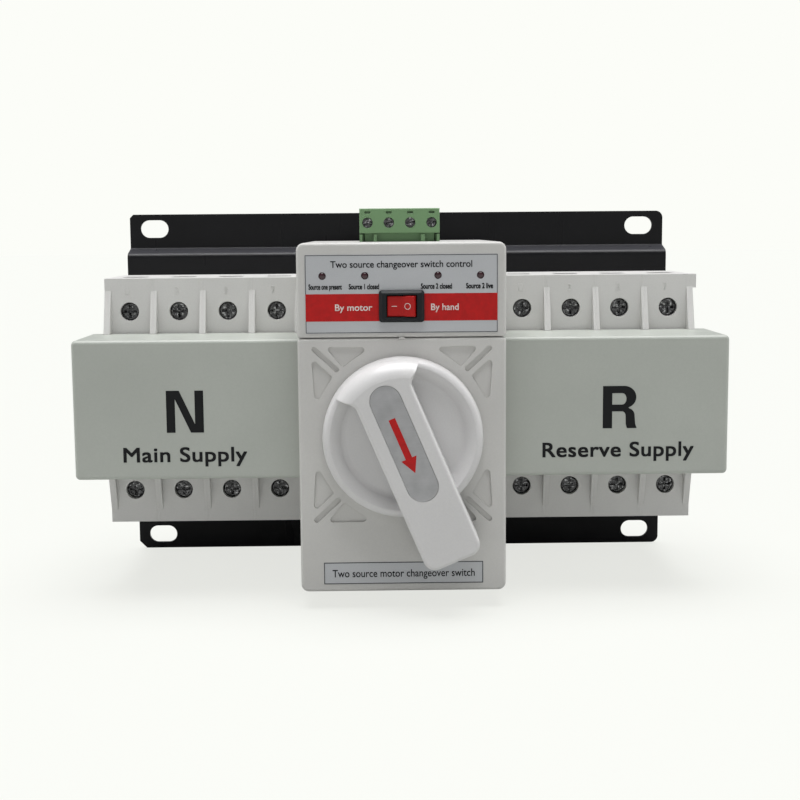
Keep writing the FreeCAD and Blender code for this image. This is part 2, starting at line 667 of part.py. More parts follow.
def drive_slide(side):
    """Rack that meshes with the drive gear, with a fork that carries a breaker's tie bar."""
    rack_middle = HANDLE_Z + side * SLIDE_TRAVEL / 2
    pitch_x = GEAR_R
    root_x = pitch_x + 1.2 * MODULE
    back = sorted((side * root_x, side * 25.5))
    rack = box(back[0], back[1], GEAR_DEPTHS[0], GEAR_DEPTHS[1], rack_middle - 20, rack_middle + 20)
    pieces = [rack]
    tooth_pitch = math.pi * MODULE
    for k in range(-12, 12):
        z = HANDLE_Z + (k + 0.5) * tooth_pitch
        if abs(z - rack_middle) > 18.4:
            continue
        slope = math.tan(math.radians(20))
        root_half = 0.69 + 1.2 * slope
        tip_half = 0.69 - 0.9 * slope
        tip_x = pitch_x - 0.9 * MODULE
        tooth = [(root_x + 0.5, z - root_half), (root_x, z - root_half), (tip_x, z - tip_half)]
        tooth += [(tip_x, z + tip_half), (root_x, z + root_half), (root_x + 0.5, z + root_half)]
        outline = [(side * x, height) for x, height in tooth]
        pieces.append(slab_d(outline, GEAR_DEPTHS[0], GEAR_DEPTHS[1]))
    tie_z = tie_place(side)[1]
    web = sorted((side * 25.0, side * 31.6))
    pieces.append(box(web[0], web[1], GEAR_DEPTHS[0] + 1, GEAR_DEPTHS[1], tie_z - 7, tie_z + 7))
    leg = sorted((side * 28.6, side * 31.6))
    pieces.append(box(leg[0], leg[1], 73.5, GEAR_DEPTHS[1], tie_z - 7, tie_z + 7))
    slide = fuse(pieces)
    fork = box(leg[0] - 1, leg[1] + 1, 72.0, 82.3, tie_z - TIE_R - 0.35, tie_z + TIE_R + 0.35)
    return slide.cut(fork)


def handle_shaft():
    shaft = rod_d(0, HANDLE_Z, SHAFT_R, 60.0, 108.0)
    return shaft.makeChamfer(0.6, [edge for edge in shaft.Edges if at_front(edge.BoundBox, 60.0)])


def mechanism_frame():
    """Steel plate across the centre unit, with the shaft's rear bearing and the slides' rails."""
    inner = BOX_HALF_WIDTH - BOX_WALL - 0.3
    low = DRIVE_BOTTOM + BOX_WALL + 0.3
    high = DRIVE_TOP - BOX_WALL - 0.3
    plate = box(-inner, inner, FRAME_DEPTHS[0], FRAME_DEPTHS[1], low, high)
    plate = fillet(plate, 3.0, lambda bounds: runs_along(bounds, "d"))
    pieces = [plate, rod_d(0, HANDLE_Z, 7.0, FRAME_DEPTHS[0] - 4, FRAME_DEPTHS[1] + 2)]
    start = FRAME_DEPTHS[1] - 1
    for side in (-1, 1):
        rail = sorted((side * RAIL_X[0], side * RAIL_X[1]))
        pieces.append(box(rail[0], rail[1], start, GEAR_DEPTHS[0] - 0.3, RAIL_Z[0], RAIL_Z[1]))
        lip = sorted((side * 25.8, side * 27.4))
        pieces.append(box(lip[0], lip[1], start, GEAR_DEPTHS[0] + 0.7, RAIL_Z[0], RAIL_Z[1]))
    holes = [rod_d(0, HANDLE_Z, SHAFT_BORE_R, 60, 75), rod_d(0, pinion_z(), 4.0, 60, 75)]
    for x, z in POSTS:
        holes.append(rod_d(x, z, SCREW_R + 0.1, 60, 75))
    return cut(fuse(pieces), holes)


def position_switches():
    """Two small switches that sense the lower end of each slide's travel."""
    shapes = []
    for side in (-1, 1):
        body = sorted((side * 20.5, side * 26.5))
        case = box(body[0], body[1], FRAME_DEPTHS[1], 86.0, -51.0, -41.0)
        case = fillet(case, 0.6, lambda bounds: runs_along(bounds, "x"))
        plunger = rod_z(side * 23.5, 84.0, 1.0, -41.5, -38.6)
        lever = box(body[0] + 1, body[1] - 1, 79.5, 86.5, -38.6, -38.1)
        shapes.append(fuse([case, plunger, lever]))
    return Part.makeCompound(shapes)


# ================================================================ housings
def shell_block(d0, d1, z0, z1, corner_radii, front_radius):
    """A block of the centre unit's width with rounded long corners and front rim."""
    lower, upper = corner_radii
    half = BOX_HALF_WIDTH
    points = [(-half, z0), (half, z0), (half, z1), (-half, z1)]
    block = rounded_slab_d(points, [lower, lower, upper, upper], d0, d1)
    if front_radius:
        block = fillet(block, front_radius, lambda bounds: at_front(bounds, d1))
    return block


def drive_housing():
    """Rear tub of the mechanism box."""
    tub = shell_block(PLATE_FRONT, DRIVE_SEAM, DRIVE_BOTTOM, DRIVE_TOP, (CORNER_R, 0.6), 0)
    inner = BOX_HALF_WIDTH - BOX_WALL
    low = DRIVE_BOTTOM + BOX_WALL
    high = DRIVE_TOP - BOX_WALL
    tub = tub.cut(box(-inner, inner, PLATE_FRONT + BOX_WALL, DRIVE_SEAM + 1, low, high))
    posts = [rod_d(x, z, POST_R, PLATE_FRONT + 1, FRAME_DEPTHS[0]) for x, z in POSTS]
    tub = fuse([tub] + posts)
    holes = []
    for x, z in POSTS:
        holes.append(rod_d(x, z, PILOT_R, PLATE_FRONT - 1, 22.2))
        holes.append(rod_d(x, z, PILOT_R, 57.5, FRAME_DEPTHS[0] + 1))
    return cut(tub, holes)


def corner_recesses():
    """Sunk panels round the handle: two triangles and a slot in each corner."""
    upper_panel = [(-26.1, 30.2), (-11.0, 29.9), (-20.1, 23.2)]
    side_panel = [(-30.7, 26.6), (-23.6, 20.1), (-29.6, 10.2)]
    slot_ends = ((-30.2, 29.9), (-21.6, 21.9))
    depth = 0.8
    tools = []
    for flip_x in (1, -1):
        for flip_z in (1, -1):
            for panel in (upper_panel, side_panel):
                points = [(flip_x * x, HANDLE_Z + flip_z * z) for x, z in panel]
                tools.append(rounded_slab_d(points, [1.0, 0.9, 1.0], BOX_FRONT - depth, BOX_FRONT + 1))
            start, end = [Vector(flip_x * x, 0, HANDLE_Z + flip_z * z) for x, z in slot_ends]
            along = (end - start).normalize()
            across = along.cross(Vector(0, 1, 0)) * 0.85
            corners = [start + across, end + across, end - across, start - across]
            points = [(corner.x, corner.z) for corner in corners]
            tools.append(rounded_slab_d(points, [0.8] * 4, BOX_FRONT - depth, BOX_FRONT + 1))
    return tools


def drive_cover():
    """Front shell of the mechanism box: shaft bearing, sunk corner panels, tie bar windows."""
    shell = shell_block(DRIVE_SEAM, BOX_FRONT, DRIVE_BOTTOM, DRIVE_TOP, (CORNER_R, 1.2), 1.0)
    inner = BOX_HALF_WIDTH - BOX_WALL
    low = DRIVE_BOTTOM + BOX_WALL
    high = DRIVE_TOP - BOX_WALL
    shell = shell.cut(box(-inner, inner, DRIVE_SEAM - 1, BOX_FRONT - BOX_WALL, low, high))
    pieces = [shell, rod_d(0, HANDLE_Z, 8.0, 90.5, BOX_FRONT)]
    tools = [rod_d(0, HANDLE_Z, SHAFT_BORE_R, 80, 100)]
    for side in (-1, 1):
        rail = sorted((side * RAIL_X[0], side * RAIL_X[1]))
        pieces.append(box(rail[0], rail[1], GEAR_DEPTHS[1] + 0.3, BOX_FRONT - 1, RAIL_Z[0], RAIL_Z[1]))
        wall = sorted((side * inner, side * (BOX_HALF_WIDTH + 1)))
        window = (BREAKER_Z - WINDOW_HALF_HEIGHT, BREAKER_Z + WINDOW_HALF_HEIGHT)
        tools.append(box(wall[0], wall[1], WINDOW_DEPTHS[0], WINDOW_DEPTHS[1], window[0], window[1]))
    return cut(fuse(pieces), tools + corner_recesses())


def control_base():
    """Rear tub of the control module."""
    tub = shell_block(PLATE_FRONT, CONTROL_SEAM, CONTROL_BOTTOM, CONTROL_TOP, (0.6, CORNER_R), 0)
    inner = BOX_HALF_WIDTH - BOX_WALL
    low = CONTROL_BOTTOM + BOX_WALL
    high = CONTROL_TOP - BOX_WALL
    hollow = box(-inner, inner, PLATE_FRONT + BOX_WALL, CONTROL_SEAM + 1, low, high)
    posts = [rod_d(x, z, POST_R, PLATE_FRONT + 1, 26.0) for x, z in CONTROL_POSTS]
    tub = fuse([tub.cut(hollow)] + posts)
    return cut(tub, [rod_d(x, z, PILOT_R, PLATE_FRONT - 1, 22.2) for x, z in CONTROL_POSTS])


def rocker_hole():
    half_x, half_z = ROCKER_HOLE
    return box(-half_x, half_x, 90, 100, ROCKER_Z - half_z, ROCKER_Z + half_z)


def control_housing():
    """Front shell of the control module, with ledges for the control board."""
    shell = shell_block(CONTROL_SEAM, BOX_FRONT, CONTROL_BOTTOM, CONTROL_TOP, (1.2, CORNER_R), 1.0)
    inner = BOX_HALF_WIDTH - BOX_WALL
    low = CONTROL_BOTTOM + BOX_WALL
    high = CONTROL_TOP - BOX_WALL
    shell = shell.cut(box(-inner, inner, CONTROL_SEAM - 1, BOX_FRONT - BOX_WALL, low, high))
    ledges = []
    for side in (-1, 1):
        ends = sorted((side * (inner + 0.5), side * (inner - 2.2)))
        ledges.append(box(ends[0], ends[1], 34.0, 79.0, 47.0, 49.4))
    shell = fuse([shell] + ledges)
    terminal = (TERMINAL_DEPTHS[0] - 0.2, TERMINAL_DEPTHS[1] + 0.2)
    tools = [rocker_hole()]
    tools.append(box(-TERMINAL_HALF_X - 0.2, TERMINAL_HALF_X + 0.2, terminal[0], terminal[1], 50, 60))
    for x in LAMP_X:
        tools.append(rod_d(x, LAMP_Z, LAMP_R + 0.05, 90, 100))
    return cut(shell, tools)


def control_label():
    """Thin printed plate on the front of the control module."""
    d0 = BOX_FRONT
    d1 = BOX_FRONT + LABEL_THICKNESS
    low, high = LABEL_HEIGHTS
    points = [(-LABEL_HALF_X, low), (LABEL_HALF_X, low), (LABEL_HALF_X, high), (-LABEL_HALF_X, high)]
    plate = rounded_slab_d(points, [0.5] * 4, d0, d1)
    tools = [rocker_hole()]
    for x in LAMP_X:
        tools.append(rod_d(x, LAMP_Z, 1.25, 90, 100))
    return cut(plate, tools)


# ================================================================ controls
def control_board():
    """Main board under the top wall with the lamp board at right angles, and the header's pins."""
    half = BOX_HALF_WIDTH - BOX_WALL - 0.4
    main = box(-half, half, 14.0, 81.6, 49.4, 51.0)
    lamp_board = box(-half, half, 80.0, 81.6, CONTROL_BOTTOM + BOX_WALL + 0.3, 51.0)
    pieces = [main, lamp_board]
    for x in TERMINAL_X:
        pieces.append(rod_z(x, 59.5, 0.6, 50.5, 58.0))
    pieces.append(box(-26.0, -8.0, 26.0, 46.0, 51.0, 54.6))
    pieces.append(box(8.0, 26.0, 26.0, 46.0, 51.0, 54.6))
    pieces.append(rod_d(-26.0, 34.0, 4.0, 60.0, 80.5))
    pieces.append(rod_d(26.0, 34.0, 4.0, 60.0, 80.5))
    return fuse(pieces)


def indicator_lamps():
    lamps = []
    for x in LAMP_X:
        body = rod_d(x, LAMP_Z, LAMP_R, 92.6, LAMP_DOME)
        dome = Part.makeSphere(LAMP_R, Vector(x, -LAMP_DOME, LAMP_Z))
        flange = rod_d(x, LAMP_Z, 1.9, 92.6, 93.6)
        leads = []
        for lead_x in (x - 0.9, x + 0.9):
            leads.append(box(lead_x - 0.25, lead_x + 0.25, 81.6, 93.0, LAMP_Z - 0.25, LAMP_Z + 0.25))
        lamps.append(fuse([body, dome, flange] + leads))
    return Part.makeCompound(lamps)


def rocker_frame():
    """Black switch body with a bevelled bezel, and the two stub pins that the button tilts on."""
    z = ROCKER_Z
    base = BOX_FRONT + LABEL_THICKNESS
    front = base + 1.8
    bezel = box(-7.65, 7.65, base, front, z - 5.4, z + 5.4)
    bezel = fillet(bezel, 1.1, lambda bounds: runs_along(bounds, "d"))
    rim = [edge for edge in bezel.Edges if at_front(edge.BoundBox, front)]
    bezel = bezel.makeChamfer(1.0, rim)
    body = box(-6.6, 6.6, 84.0, base, z - 4.3, z + 4.3)
    pins = [box(s - 0.4, s + 0.4, 81.6, 84.5, z - 1.2, z + 1.2) for s in (-4.4, 0, 4.4)]
    well = box(-ROCKER_R - 0.2, ROCKER_R + 0.2, 88.0, 104.0, z - 3.75, z + 3.75)
    frame = fuse([bezel, body] + pins).cut(well)
    stubs = [
        rod_z(0, ROCKER_PIVOT, ROCKER_PIN_R, z + 2.95, z + 4.0),
        rod_z(0, ROCKER_PIVOT, ROCKER_PIN_R, z - 4.0, z - 2.95),
    ]
    return fuse([frame] + stubs)


def rocker_button():
    """Rocker with a shallow V front and round ends, resting with its left half pressed in."""
    z = ROCKER_Z
    pivot = ROCKER_PIVOT
    half = ROCKER_HALF_HEIGHT
    front = [(-ROCKER_R, pivot + 1.87), (0.0, pivot + 0.9), (ROCKER_R, pivot + 1.87)]
    back = [(ROCKER_R, pivot - 1.2), (1.6, pivot - 5.0), (-1.6, pivot - 5.0), (-ROCKER_R, pivot - 1.2)]
    body = slab_z(front + back, z - half, z + half)
    body = body.common(rod_z(0, pivot, ROCKER_R, z - half, z + half))

    def front_edge(bounds):
        fold = abs(bounds.XMin) < 0.01 and abs(bounds.XMax) < 0.01
        return bounds.YMax < -pivot - 0.5 and not fold

    body = fillet(body, 0.3, front_edge)
    bore_r = ROCKER_PIN_R + 0.06
    bores = [rod_z(0, pivot, bore_r, z + 2.9, z + 5), rod_z(0, pivot, bore_r, z - 5, z - 2.9)]
    return turned(cut(body, bores), Vector(0, -pivot, z), Vector(0, 0, 1), -ROCKER_TILT)


def terminal_header():
    """Green socket on the control board: the plug pushes in behind its three front notches."""
    half = TERMINAL_HALF_X
    block = box(-half, half, TERMINAL_DEPTHS[0], TERMINAL_DEPTHS[1], 51.0, 60.0)
    tools = [box(-12.9, 12.9, 54.0, 65.0, 53.0, 61.0)]
    for x0, x1 in ((-13.3, -9.3), (-8.1, 7.6), (9.1, 13.3)):
        tools.append(box(x0, x1, 64.9, 68.0, 57.2, 60.1))
    for x in TERMINAL_X:
        tools.append(rod_z(x, 59.5, 0.65, 50, 54))
    return cut(block, tools)


def terminal_plug():
    """Green plug with four wire holes on top and four screw holes in front."""
    half = TERMINAL_HALF_X
    front = TERMINAL_DEPTHS[1] + 0.3
    body = box(-half, half, TERMINAL_DEPTHS[0], front, 60.3, 69.1)
    body = fillet(body, 0.35, lambda bounds: at_front(bounds, front))
    tongue = box(-12.5, 12.5, 54.4, 64.6, 53.6, 60.8)
    tools = []
    for x in TERMINAL_X:
        tools.append(rod_d(x, PLUG_SCREW_Z, 1.85, 62.0, 68.0))
        tools.append(rod_d(x, PLUG_SCREW_Z, 1.25, 56.0, 63.0))
        tools.append(box(x - 1.7, x + 1.7, 56.5, 60.0, 61.5, 70.0))
        tools.append(box(x - 1.0, x + 1.0, 65.8, 68.0, 67.3, 68.1))
        tools.append(rod_z(x, 59.5, 0.9, 53.0, 59.5))
    return cut(fuse([body, tongue]), tools)


def plug_screws():
    screws = []
    for x in TERMINAL_X:
        head = rod_d(x, PLUG_SCREW_Z, 1.8, 63.0, 66.2)
        shank = rod_d(x, PLUG_SCREW_Z, 1.2, 57.5, 63.0)
        slot = box(x - 2.0, x + 2.0, 65.4, 67.0, PLUG_SCREW_Z - 0.3, PLUG_SCREW_Z + 0.3)
        screw = fuse([head, shank]).cut(slot)
        screws.append(turned(screw, Vector(x, 0, PLUG_SCREW_Z), Vector(0, 1, 0), -15))
    return Part.makeCompound(screws)


# ================================================================ handle
def turned_to_rest(shape):
    """Swing the handle from straight down to its rest position at lower right."""
    return turned(shape, Vector(0, 0, HANDLE_Z), Vector(0, 1, 0), -HANDLE_REST)


def handle_disc():
    """Round disc with a rolled rim and a sunk floor."""
    points = {
        "back_axis": (0, DISC_BACK), "back_edge": (DISC_R - 0.5, DISC_BACK),
        "skirt_low": (DISC_R, DISC_BACK + 0.5), "skirt_high": (DISC_R, 104.4),
        "rim_arc": (DISC_R - 0.8, 106.5), "rim_top": (DISC_R - 2.5, 107.3),
        "inner_arc": (22.3, 105.7), "slope": (20.9, 104.0),
        "floor_arc": (20.0, 103.4), "floor": (18.8, DISC_FLOOR), "axis": (0, DISC_FLOOR),
    }
    at = {name: Vector(r, -d, HANDLE_Z) for name, (r, d) in points.items()}
    edges = [
        Part.makeLine(at["back_axis"], at["back_edge"]),
        Part.makeLine(at["back_edge"], at["skirt_low"]),
        Part.makeLine(at["skirt_low"], at["skirt_high"]),
        Part.Arc(at["skirt_high"], at["rim_arc"], at["rim_top"]).toShape(),
        Part.Arc(at["rim_top"], at["inner_arc"], at["slope"]).toShape(),
        Part.Arc(at["slope"], at["floor_arc"], at["floor"]).toShape(),
        Part.makeLine(at["floor"], at["axis"]),
        Part.makeLine(at["axis"], at["back_axis"]),
    ]
    return Part.Face(Part.Wire(edges)).revolve(Vector(0, 0, HANDLE_Z), Vector(0, 1, 0), 360)


def handle_lever():
    """Lever with a flared upper end that rolls down onto the disc's rim."""
    half = LEVER_HALF_WIDTH
    neck = 16.9
    fan_x = 15.2
    fan_z = 22.0
    top = DISC_R + 0.5
    right = [(half, -LEVER_LENGTH), (half, neck), (fan_x, fan_z), (5.0, top)]
    left = [(-x, z) for x, z in reversed(right)]
    points = [(x, HANDLE_Z + z) for x, z in right + left]
    radii = [4.0, 2.5, 0.6, 0.6, 0.6, 0.6, 2.5, 4.0]
    bar = rounded_slab_d(points, radii, LEVER_BACK, LEVER_FRONT)
    edge_r = DISC_R - 0.3
    roll_depth = 7.5
    roll_width = 5.5
    quarter = 1 - math.cos(math.radians(45))
    profile = {
        "back_axis": (0, LEVER_BACK), "back_edge": (edge_r, LEVER_BACK),
        "roll_low": (edge_r, LEVER_FRONT - roll_depth),
        "roll_arc": (edge_r - quarter * roll_width, LEVER_FRONT - quarter * roll_depth),
        "roll_high": (edge_r - roll_width, LEVER_FRONT), "axis": (0, LEVER_FRONT),
    }
    at = {name: Vector(r, -d, HANDLE_Z) for name, (r, d) in profile.items()}
    edges = [
        Part.makeLine(at["back_axis"], at["back_edge"]),
        Part.makeLine(at["back_edge"], at["roll_low"]),
        Part.Arc(at["roll_low"], at["roll_arc"], at["roll_high"]).toShape(),
        Part.makeLine(at["roll_high"], at["axis"]),
        Part.makeLine(at["axis"], at["back_axis"]),
    ]
    dome = Part.Face(Part.Wire(edges)).revolve(Vector(0, 0, HANDLE_Z), Vector(0, 1, 0), 360)
    reach = box(-12, 12, LEVER_BACK, LEVER_FRONT, HANDLE_Z - 60, HANDLE_Z)
    return bar.common(dome.fuse(reach))


def plaque_blank(grow, d0, d1):
    """Stadium along the lever, larger than the plaque by grow."""
    up, down = PLAQUE_ENDS
    radius = PLAQUE_HALF_WIDTH
    top = HANDLE_Z + up - radius
    bottom = HANDLE_Z - down + radius
    body = box(-radius - grow, radius + grow, d0, d1, bottom, top)
    return fuse([body, rod_d(0, top, radius + grow, d0, d1), rod_d(0, bottom, radius + grow, d0, d1)])


def rotary_handle():
    lever = handle_lever()
    lever = fillet(lever, 1.2, lambda bounds: at_front(bounds, LEVER_FRONT))
    handle = fuse([handle_disc(), lever])
    tools = [plaque_blank(0.1, PLAQUE_DEPTHS[0], 120.0), rod_d(0, HANDLE_Z, SHAFT_R, 95.0, 108.0)]
    return turned_to_rest(cut(handle, tools))


def handle_plaque():
    return turned_to_rest(plaque_blank(0, PLAQUE_DEPTHS[0], PLAQUE_DEPTHS[1]))


# ================================================================ assembly
parts["base_plate"] = base_plate()
make_breaker(-1, "normal")
make_breaker(1, "reserve")
parts["pole_rivets"] = rivets()
breaker_screws = [pan_screw(x, z, STEP_DEPTH - 2.2, 18.8, 3.2) for x, z in breaker_screw_places()]
parts["breaker_screws"] = Part.makeCompound(breaker_screws)
parts["drive_housing"] = drive_housing()
parts["drive_cover"] = drive_cover()
parts["mechanism_frame"] = mechanism_frame()
parts["position_switches"] = position_switches()
parts["motor"] = motor()
parts["motor_pinion"] = motor_pinion()
parts["drive_gear"] = drive_gear()
parts["handle_shaft"] = handle_shaft()
parts["rotary_handle"] = rotary_handle()
parts["handle_plaque"] = handle_plaque()
parts["control_base"] = control_base()
parts["control_housing"] = control_housing()
parts["control_label"] = control_label()
parts["control_board"] = control_board()
parts["indicator_lamps"] = indicator_lamps()
parts["rocker_frame"] = rocker_frame()
parts["rocker_button"] = rocker_button()
parts["terminal_header"] = terminal_header()
parts["terminal_plug"] = terminal_plug()
parts["plug_screws"] = plug_screws()
back_screws = [pan_screw(x, z, STEP_DEPTH - 2.2, 22.0, 3.2) for x, z in POSTS + CONTROL_POSTS]
frame_screws = [pan_screw(x, z, FRAME_DEPTHS[1] + 2.2, 58.0, 3.0) for x, z in POSTS]
parts["housing_screws"] = Part.makeCompound(back_screws + frame_screws)

os.makedirs("parts", exist_ok=True)
for name, shape in parts.items():
    solids = len(shape.Solids)
    print(f"{name}: valid {shape.isValid()}, solids {solids}, volume {shape.Volume:.0f} mm3")
    shape.exportStep(f"parts/{name}.step")
print(len(parts), "nodes")
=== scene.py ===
import json
import math

import bmesh
import bpy
from mathutils import Matrix, Vector


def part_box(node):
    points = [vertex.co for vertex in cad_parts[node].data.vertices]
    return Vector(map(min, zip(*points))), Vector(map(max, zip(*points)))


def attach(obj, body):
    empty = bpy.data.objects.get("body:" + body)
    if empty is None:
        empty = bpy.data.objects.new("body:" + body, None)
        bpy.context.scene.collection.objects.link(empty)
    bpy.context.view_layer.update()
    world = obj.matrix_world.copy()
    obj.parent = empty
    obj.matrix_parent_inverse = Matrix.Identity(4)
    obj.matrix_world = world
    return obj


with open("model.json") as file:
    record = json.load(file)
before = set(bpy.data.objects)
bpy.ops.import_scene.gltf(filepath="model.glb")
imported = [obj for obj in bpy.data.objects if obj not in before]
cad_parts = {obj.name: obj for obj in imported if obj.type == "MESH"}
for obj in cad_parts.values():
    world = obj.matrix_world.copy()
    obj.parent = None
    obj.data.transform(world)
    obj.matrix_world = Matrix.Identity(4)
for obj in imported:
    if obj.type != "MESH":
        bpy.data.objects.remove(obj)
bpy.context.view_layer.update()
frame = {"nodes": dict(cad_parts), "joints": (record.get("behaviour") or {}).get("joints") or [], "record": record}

# Looks of a two-source transfer switch, in metres, in the frame of its CAD model:
# +X right, +Z up, the front faces -Y.
MM = 0.001
PRINT_THICKNESS = 0.05 * MM
LINE_THICKNESS = 0.03 * MM
BAND_THICKNESS = 0.04 * MM
WELD_DISTANCE = 0.001 * MM

# Samples of a softened edge, and the colour sockets of a Mix node.
EDGE_SAMPLES = 4
FIRST_COLOUR, SECOND_COLOUR, MIXED_COLOUR = 6, 7, 2

# Letters at font size 1: half their thickness, their smoothness, and how much further forward
# each thickening copy stands, since copies in one plane would shade black.
HALF_THICKNESS = 0.5
LETTER_SMOOTHNESS = 6
COPY_STEP = 0.12

nodes = frame["nodes"]
joints = {joint["name"]: joint for joint in frame["joints"]}


def mm(*lengths):
    """Lengths in millimetres, given in metres."""
    return [length * MM for length in lengths]


# ================================================================ materials
def srgb(red, green, blue):
    """A colour given as eight-bit sRGB, in the linear values that shaders take."""
    linear = []
    for value in (red, green, blue):
        share = value / 255
        linear.append(share / 12.92 if share <= 0.04045 else ((share + 0.055) / 1.055) ** 2.4)
    return (*linear, 1.0)


def scaled(colour, factor):
    """A darker or lighter shade of a colour."""
    return (*(min(value * factor, 1.0) for value in colour[:3]), 1.0)


class Finish:
    """A material whose patterns are sized in metres over the piece's own coordinates."""

    def __init__(self, name):
        self.material = bpy.data.materials.new(name)
        self.material.use_nodes = True
        self.tree = self.material.node_tree
        self.shader = self.tree.nodes["Principled BSDF"]
        self.place = self.add("ShaderNodeTexCoord").outputs["Object"]

    def add(self, kind):
        return self.tree.nodes.new(kind)

    def join(self, output, socket):
        self.tree.links.new(output, socket)

    def use(self, socket, value):
        """A pattern or a plain number for a socket of the shader."""
        if isinstance(value, bpy.types.NodeSocket):
            self.join(value, self.shader.inputs[socket])
        else:
            self.shader.inputs[socket].default_value = value

    def texture(self, kind, size, stretch=(1, 1, 1)):
        """A texture with features about as large as size, drawn out along an axis by a stretch below 1."""
        mapping = self.add("ShaderNodeMapping")
        mapping.inputs["Scale"].default_value = [share / size for share in stretch]
        self.join(self.place, mapping.inputs["Vector"])
        texture = self.add(kind)
        texture.inputs["Scale"].default_value = 1.0
        self.join(mapping.outputs["Vector"], texture.inputs["Vector"])
        return texture

    def noise(self, size, detail=2.0, stretch=(1, 1, 1)):
        """Soft blotches."""
        texture = self.texture("ShaderNodeTexNoise", size, stretch)
        texture.inputs["Detail"].default_value = detail
        return texture.outputs["Fac"]

    def cells(self, size):
        """Distance from the middle of each cell."""
        return self.texture("ShaderNodeTexVoronoi", size).outputs["Distance"]

    def between(self, pattern, low, high, start=0.3, end=0.7):
        """The pattern's start to end, spread from low to high."""
        spread = self.add("ShaderNodeMapRange")
        self.join(pattern, spread.inputs["Value"])
        spread.inputs["From Min"].default_value = start
        spread.inputs["From Max"].default_value = end
        spread.inputs["To Min"].default_value = low
        spread.inputs["To Max"].default_value = high
        return spread.outputs["Result"]

    def blend(self, share, first, second):
        """One colour or pattern of colours to another, by a share from 0 to 1."""
        mix = self.add("ShaderNodeMix")
        mix.data_type = "RGBA"
        self.join(share, mix.inputs["Factor"])
        for value, socket in ((first, mix.inputs[FIRST_COLOUR]), (second, mix.inputs[SECOND_COLOUR])):
            if isinstance(value, tuple):
                socket.default_value = value
            else:
                self.join(value, socket)
        return mix.outputs[MIXED_COLOUR]

    def softened(self, radius):
        """The normal of the piece with its edges rounded to a radius."""
        bevel = self.add("ShaderNodeBevel")
        bevel.samples = EDGE_SAMPLES
        bevel.inputs["Radius"].default_value = radius
        return bevel.outputs["Normal"]

    def sharp_edge(self, radius):
        """From 0 on a flat face to 1 on a sharp edge of the piece."""
        sharp, flat = 0.82, 0.97
        geometry = self.add("ShaderNodeNewGeometry")
        compare = self.add("ShaderNodeVectorMath")
        compare.operation = "DOT_PRODUCT"
        self.join(self.softened(radius), compare.inputs[0])
        self.join(geometry.outputs["Normal"], compare.inputs[1])
        return self.between(compare.outputs["Value"], 1.0, 0.0, sharp, flat)

    def upward(self):
        """1 on a face that looks up, 0 on an upright one."""
        geometry = self.add("ShaderNodeNewGeometry")
        split = self.add("ShaderNodeSeparateXYZ")
        self.join(geometry.outputs["Normal"], split.inputs["Vector"])
        return split.outputs["Z"]

    def relief(self, layers, edge_radius):
        """Bumps laid over each other as (pattern, height in metres), on softened edges."""
        normal = self.softened(edge_radius)
        for pattern, height in layers:
            bump = self.add("ShaderNodeBump")
            bump.inputs["Distance"].default_value = height
            self.join(pattern, bump.inputs["Height"])
            self.join(normal, bump.inputs["Normal"])
            normal = bump.outputs["Normal"]
        self.use("Normal", normal)


def moulded(name, colour, roughness, grain, depth, coat=0.0, shine=0.5):
    """Injection-moulded plastic: spark-eroded grain, faint flow mottling, gentle sink, and paler edges that are
    partly wear and partly a painted highlight.
    """
    finish = Finish(name)
    mottle = finish.between(finish.noise(26 * MM, 3.0), 0, 1)
    base = finish.blend(mottle, scaled(colour, 0.965), scaled(colour, 1.03))
    specks = finish.between(finish.noise(0.6 * MM, 1.0), 0, 0.12)
    base = finish.blend(specks, base, scaled(colour, 0.75))
    # Sharp edges painted paler: partly wear, partly a painted edge highlight.
    edge_wear_and_highlight = finish.between(finish.sharp_edge(0.25 * MM), 0, 0.3, 0, 1)
    base = finish.blend(edge_wear_and_highlight, base, scaled(colour, 1.22))
    finish.use("Base Color", base)
    gloss = finish.noise(9 * MM, 2.0)
    finish.use("Roughness", finish.between(gloss, roughness - 0.05, roughness + 0.06))
    finish.use("Specular IOR Level", shine)
    finish.use("Coat Weight", coat)
    finish.use("Coat Roughness", 0.22)
    sink = (finish.noise(14 * MM, 1.0), 0.12 * MM)
    finish.relief([sink, (finish.noise(grain, 2.0), depth)], 0.3 * MM)
    return finish.material


def painted(name, colour):
    """Satin paint on sheet steel: orange peel, wiping marks, paler edges that are partly wear and partly painted
    highlight, and a painted highlight on faces that look up.
    """
    finish = Finish(name)
    cloud = finish.between(finish.noise(40 * MM, 4.0), 0, 1)
    base = finish.blend(cloud, scaled(colour, 0.85), scaled(colour, 1.25))
    specks = finish.between(finish.noise(0.5 * MM, 2.0), 0, 0.2, 0.62, 0.8)
    base = finish.blend(specks, base, scaled(colour, 3.5))
    # Sharp edges painted paler: partly worn paint, partly a painted edge highlight.
    edge_wear_and_highlight = finish.between(finish.sharp_edge(0.35 * MM), 0, 0.35, 0, 1)
    base = finish.blend(edge_wear_and_highlight, base, scaled(colour, 5))
    # Faces that look up are painted paler: a painted highlight of the overhead light.
    painted_top_highlight = finish.between(finish.upward(), 0, 0.8, 0.5, 0.95)
    base = finish.blend(painted_top_highlight, base, scaled(colour, 7))
    finish.use("Base Color", base)
    finish.use("Specular IOR Level", 0.2)
    streaks = finish.noise(7 * MM, 3.0, (1, 1, 0.12))
    finish.use("Roughness", finish.between(streaks, 0.26, 0.4))
    waves = (finish.noise(22 * MM, 2.0), 0.25 * MM)
    peel = (finish.noise(1.1 * MM, 2.0), 0.015 * MM)
    finish.relief([waves, peel], 0.3 * MM)
    return finish.material


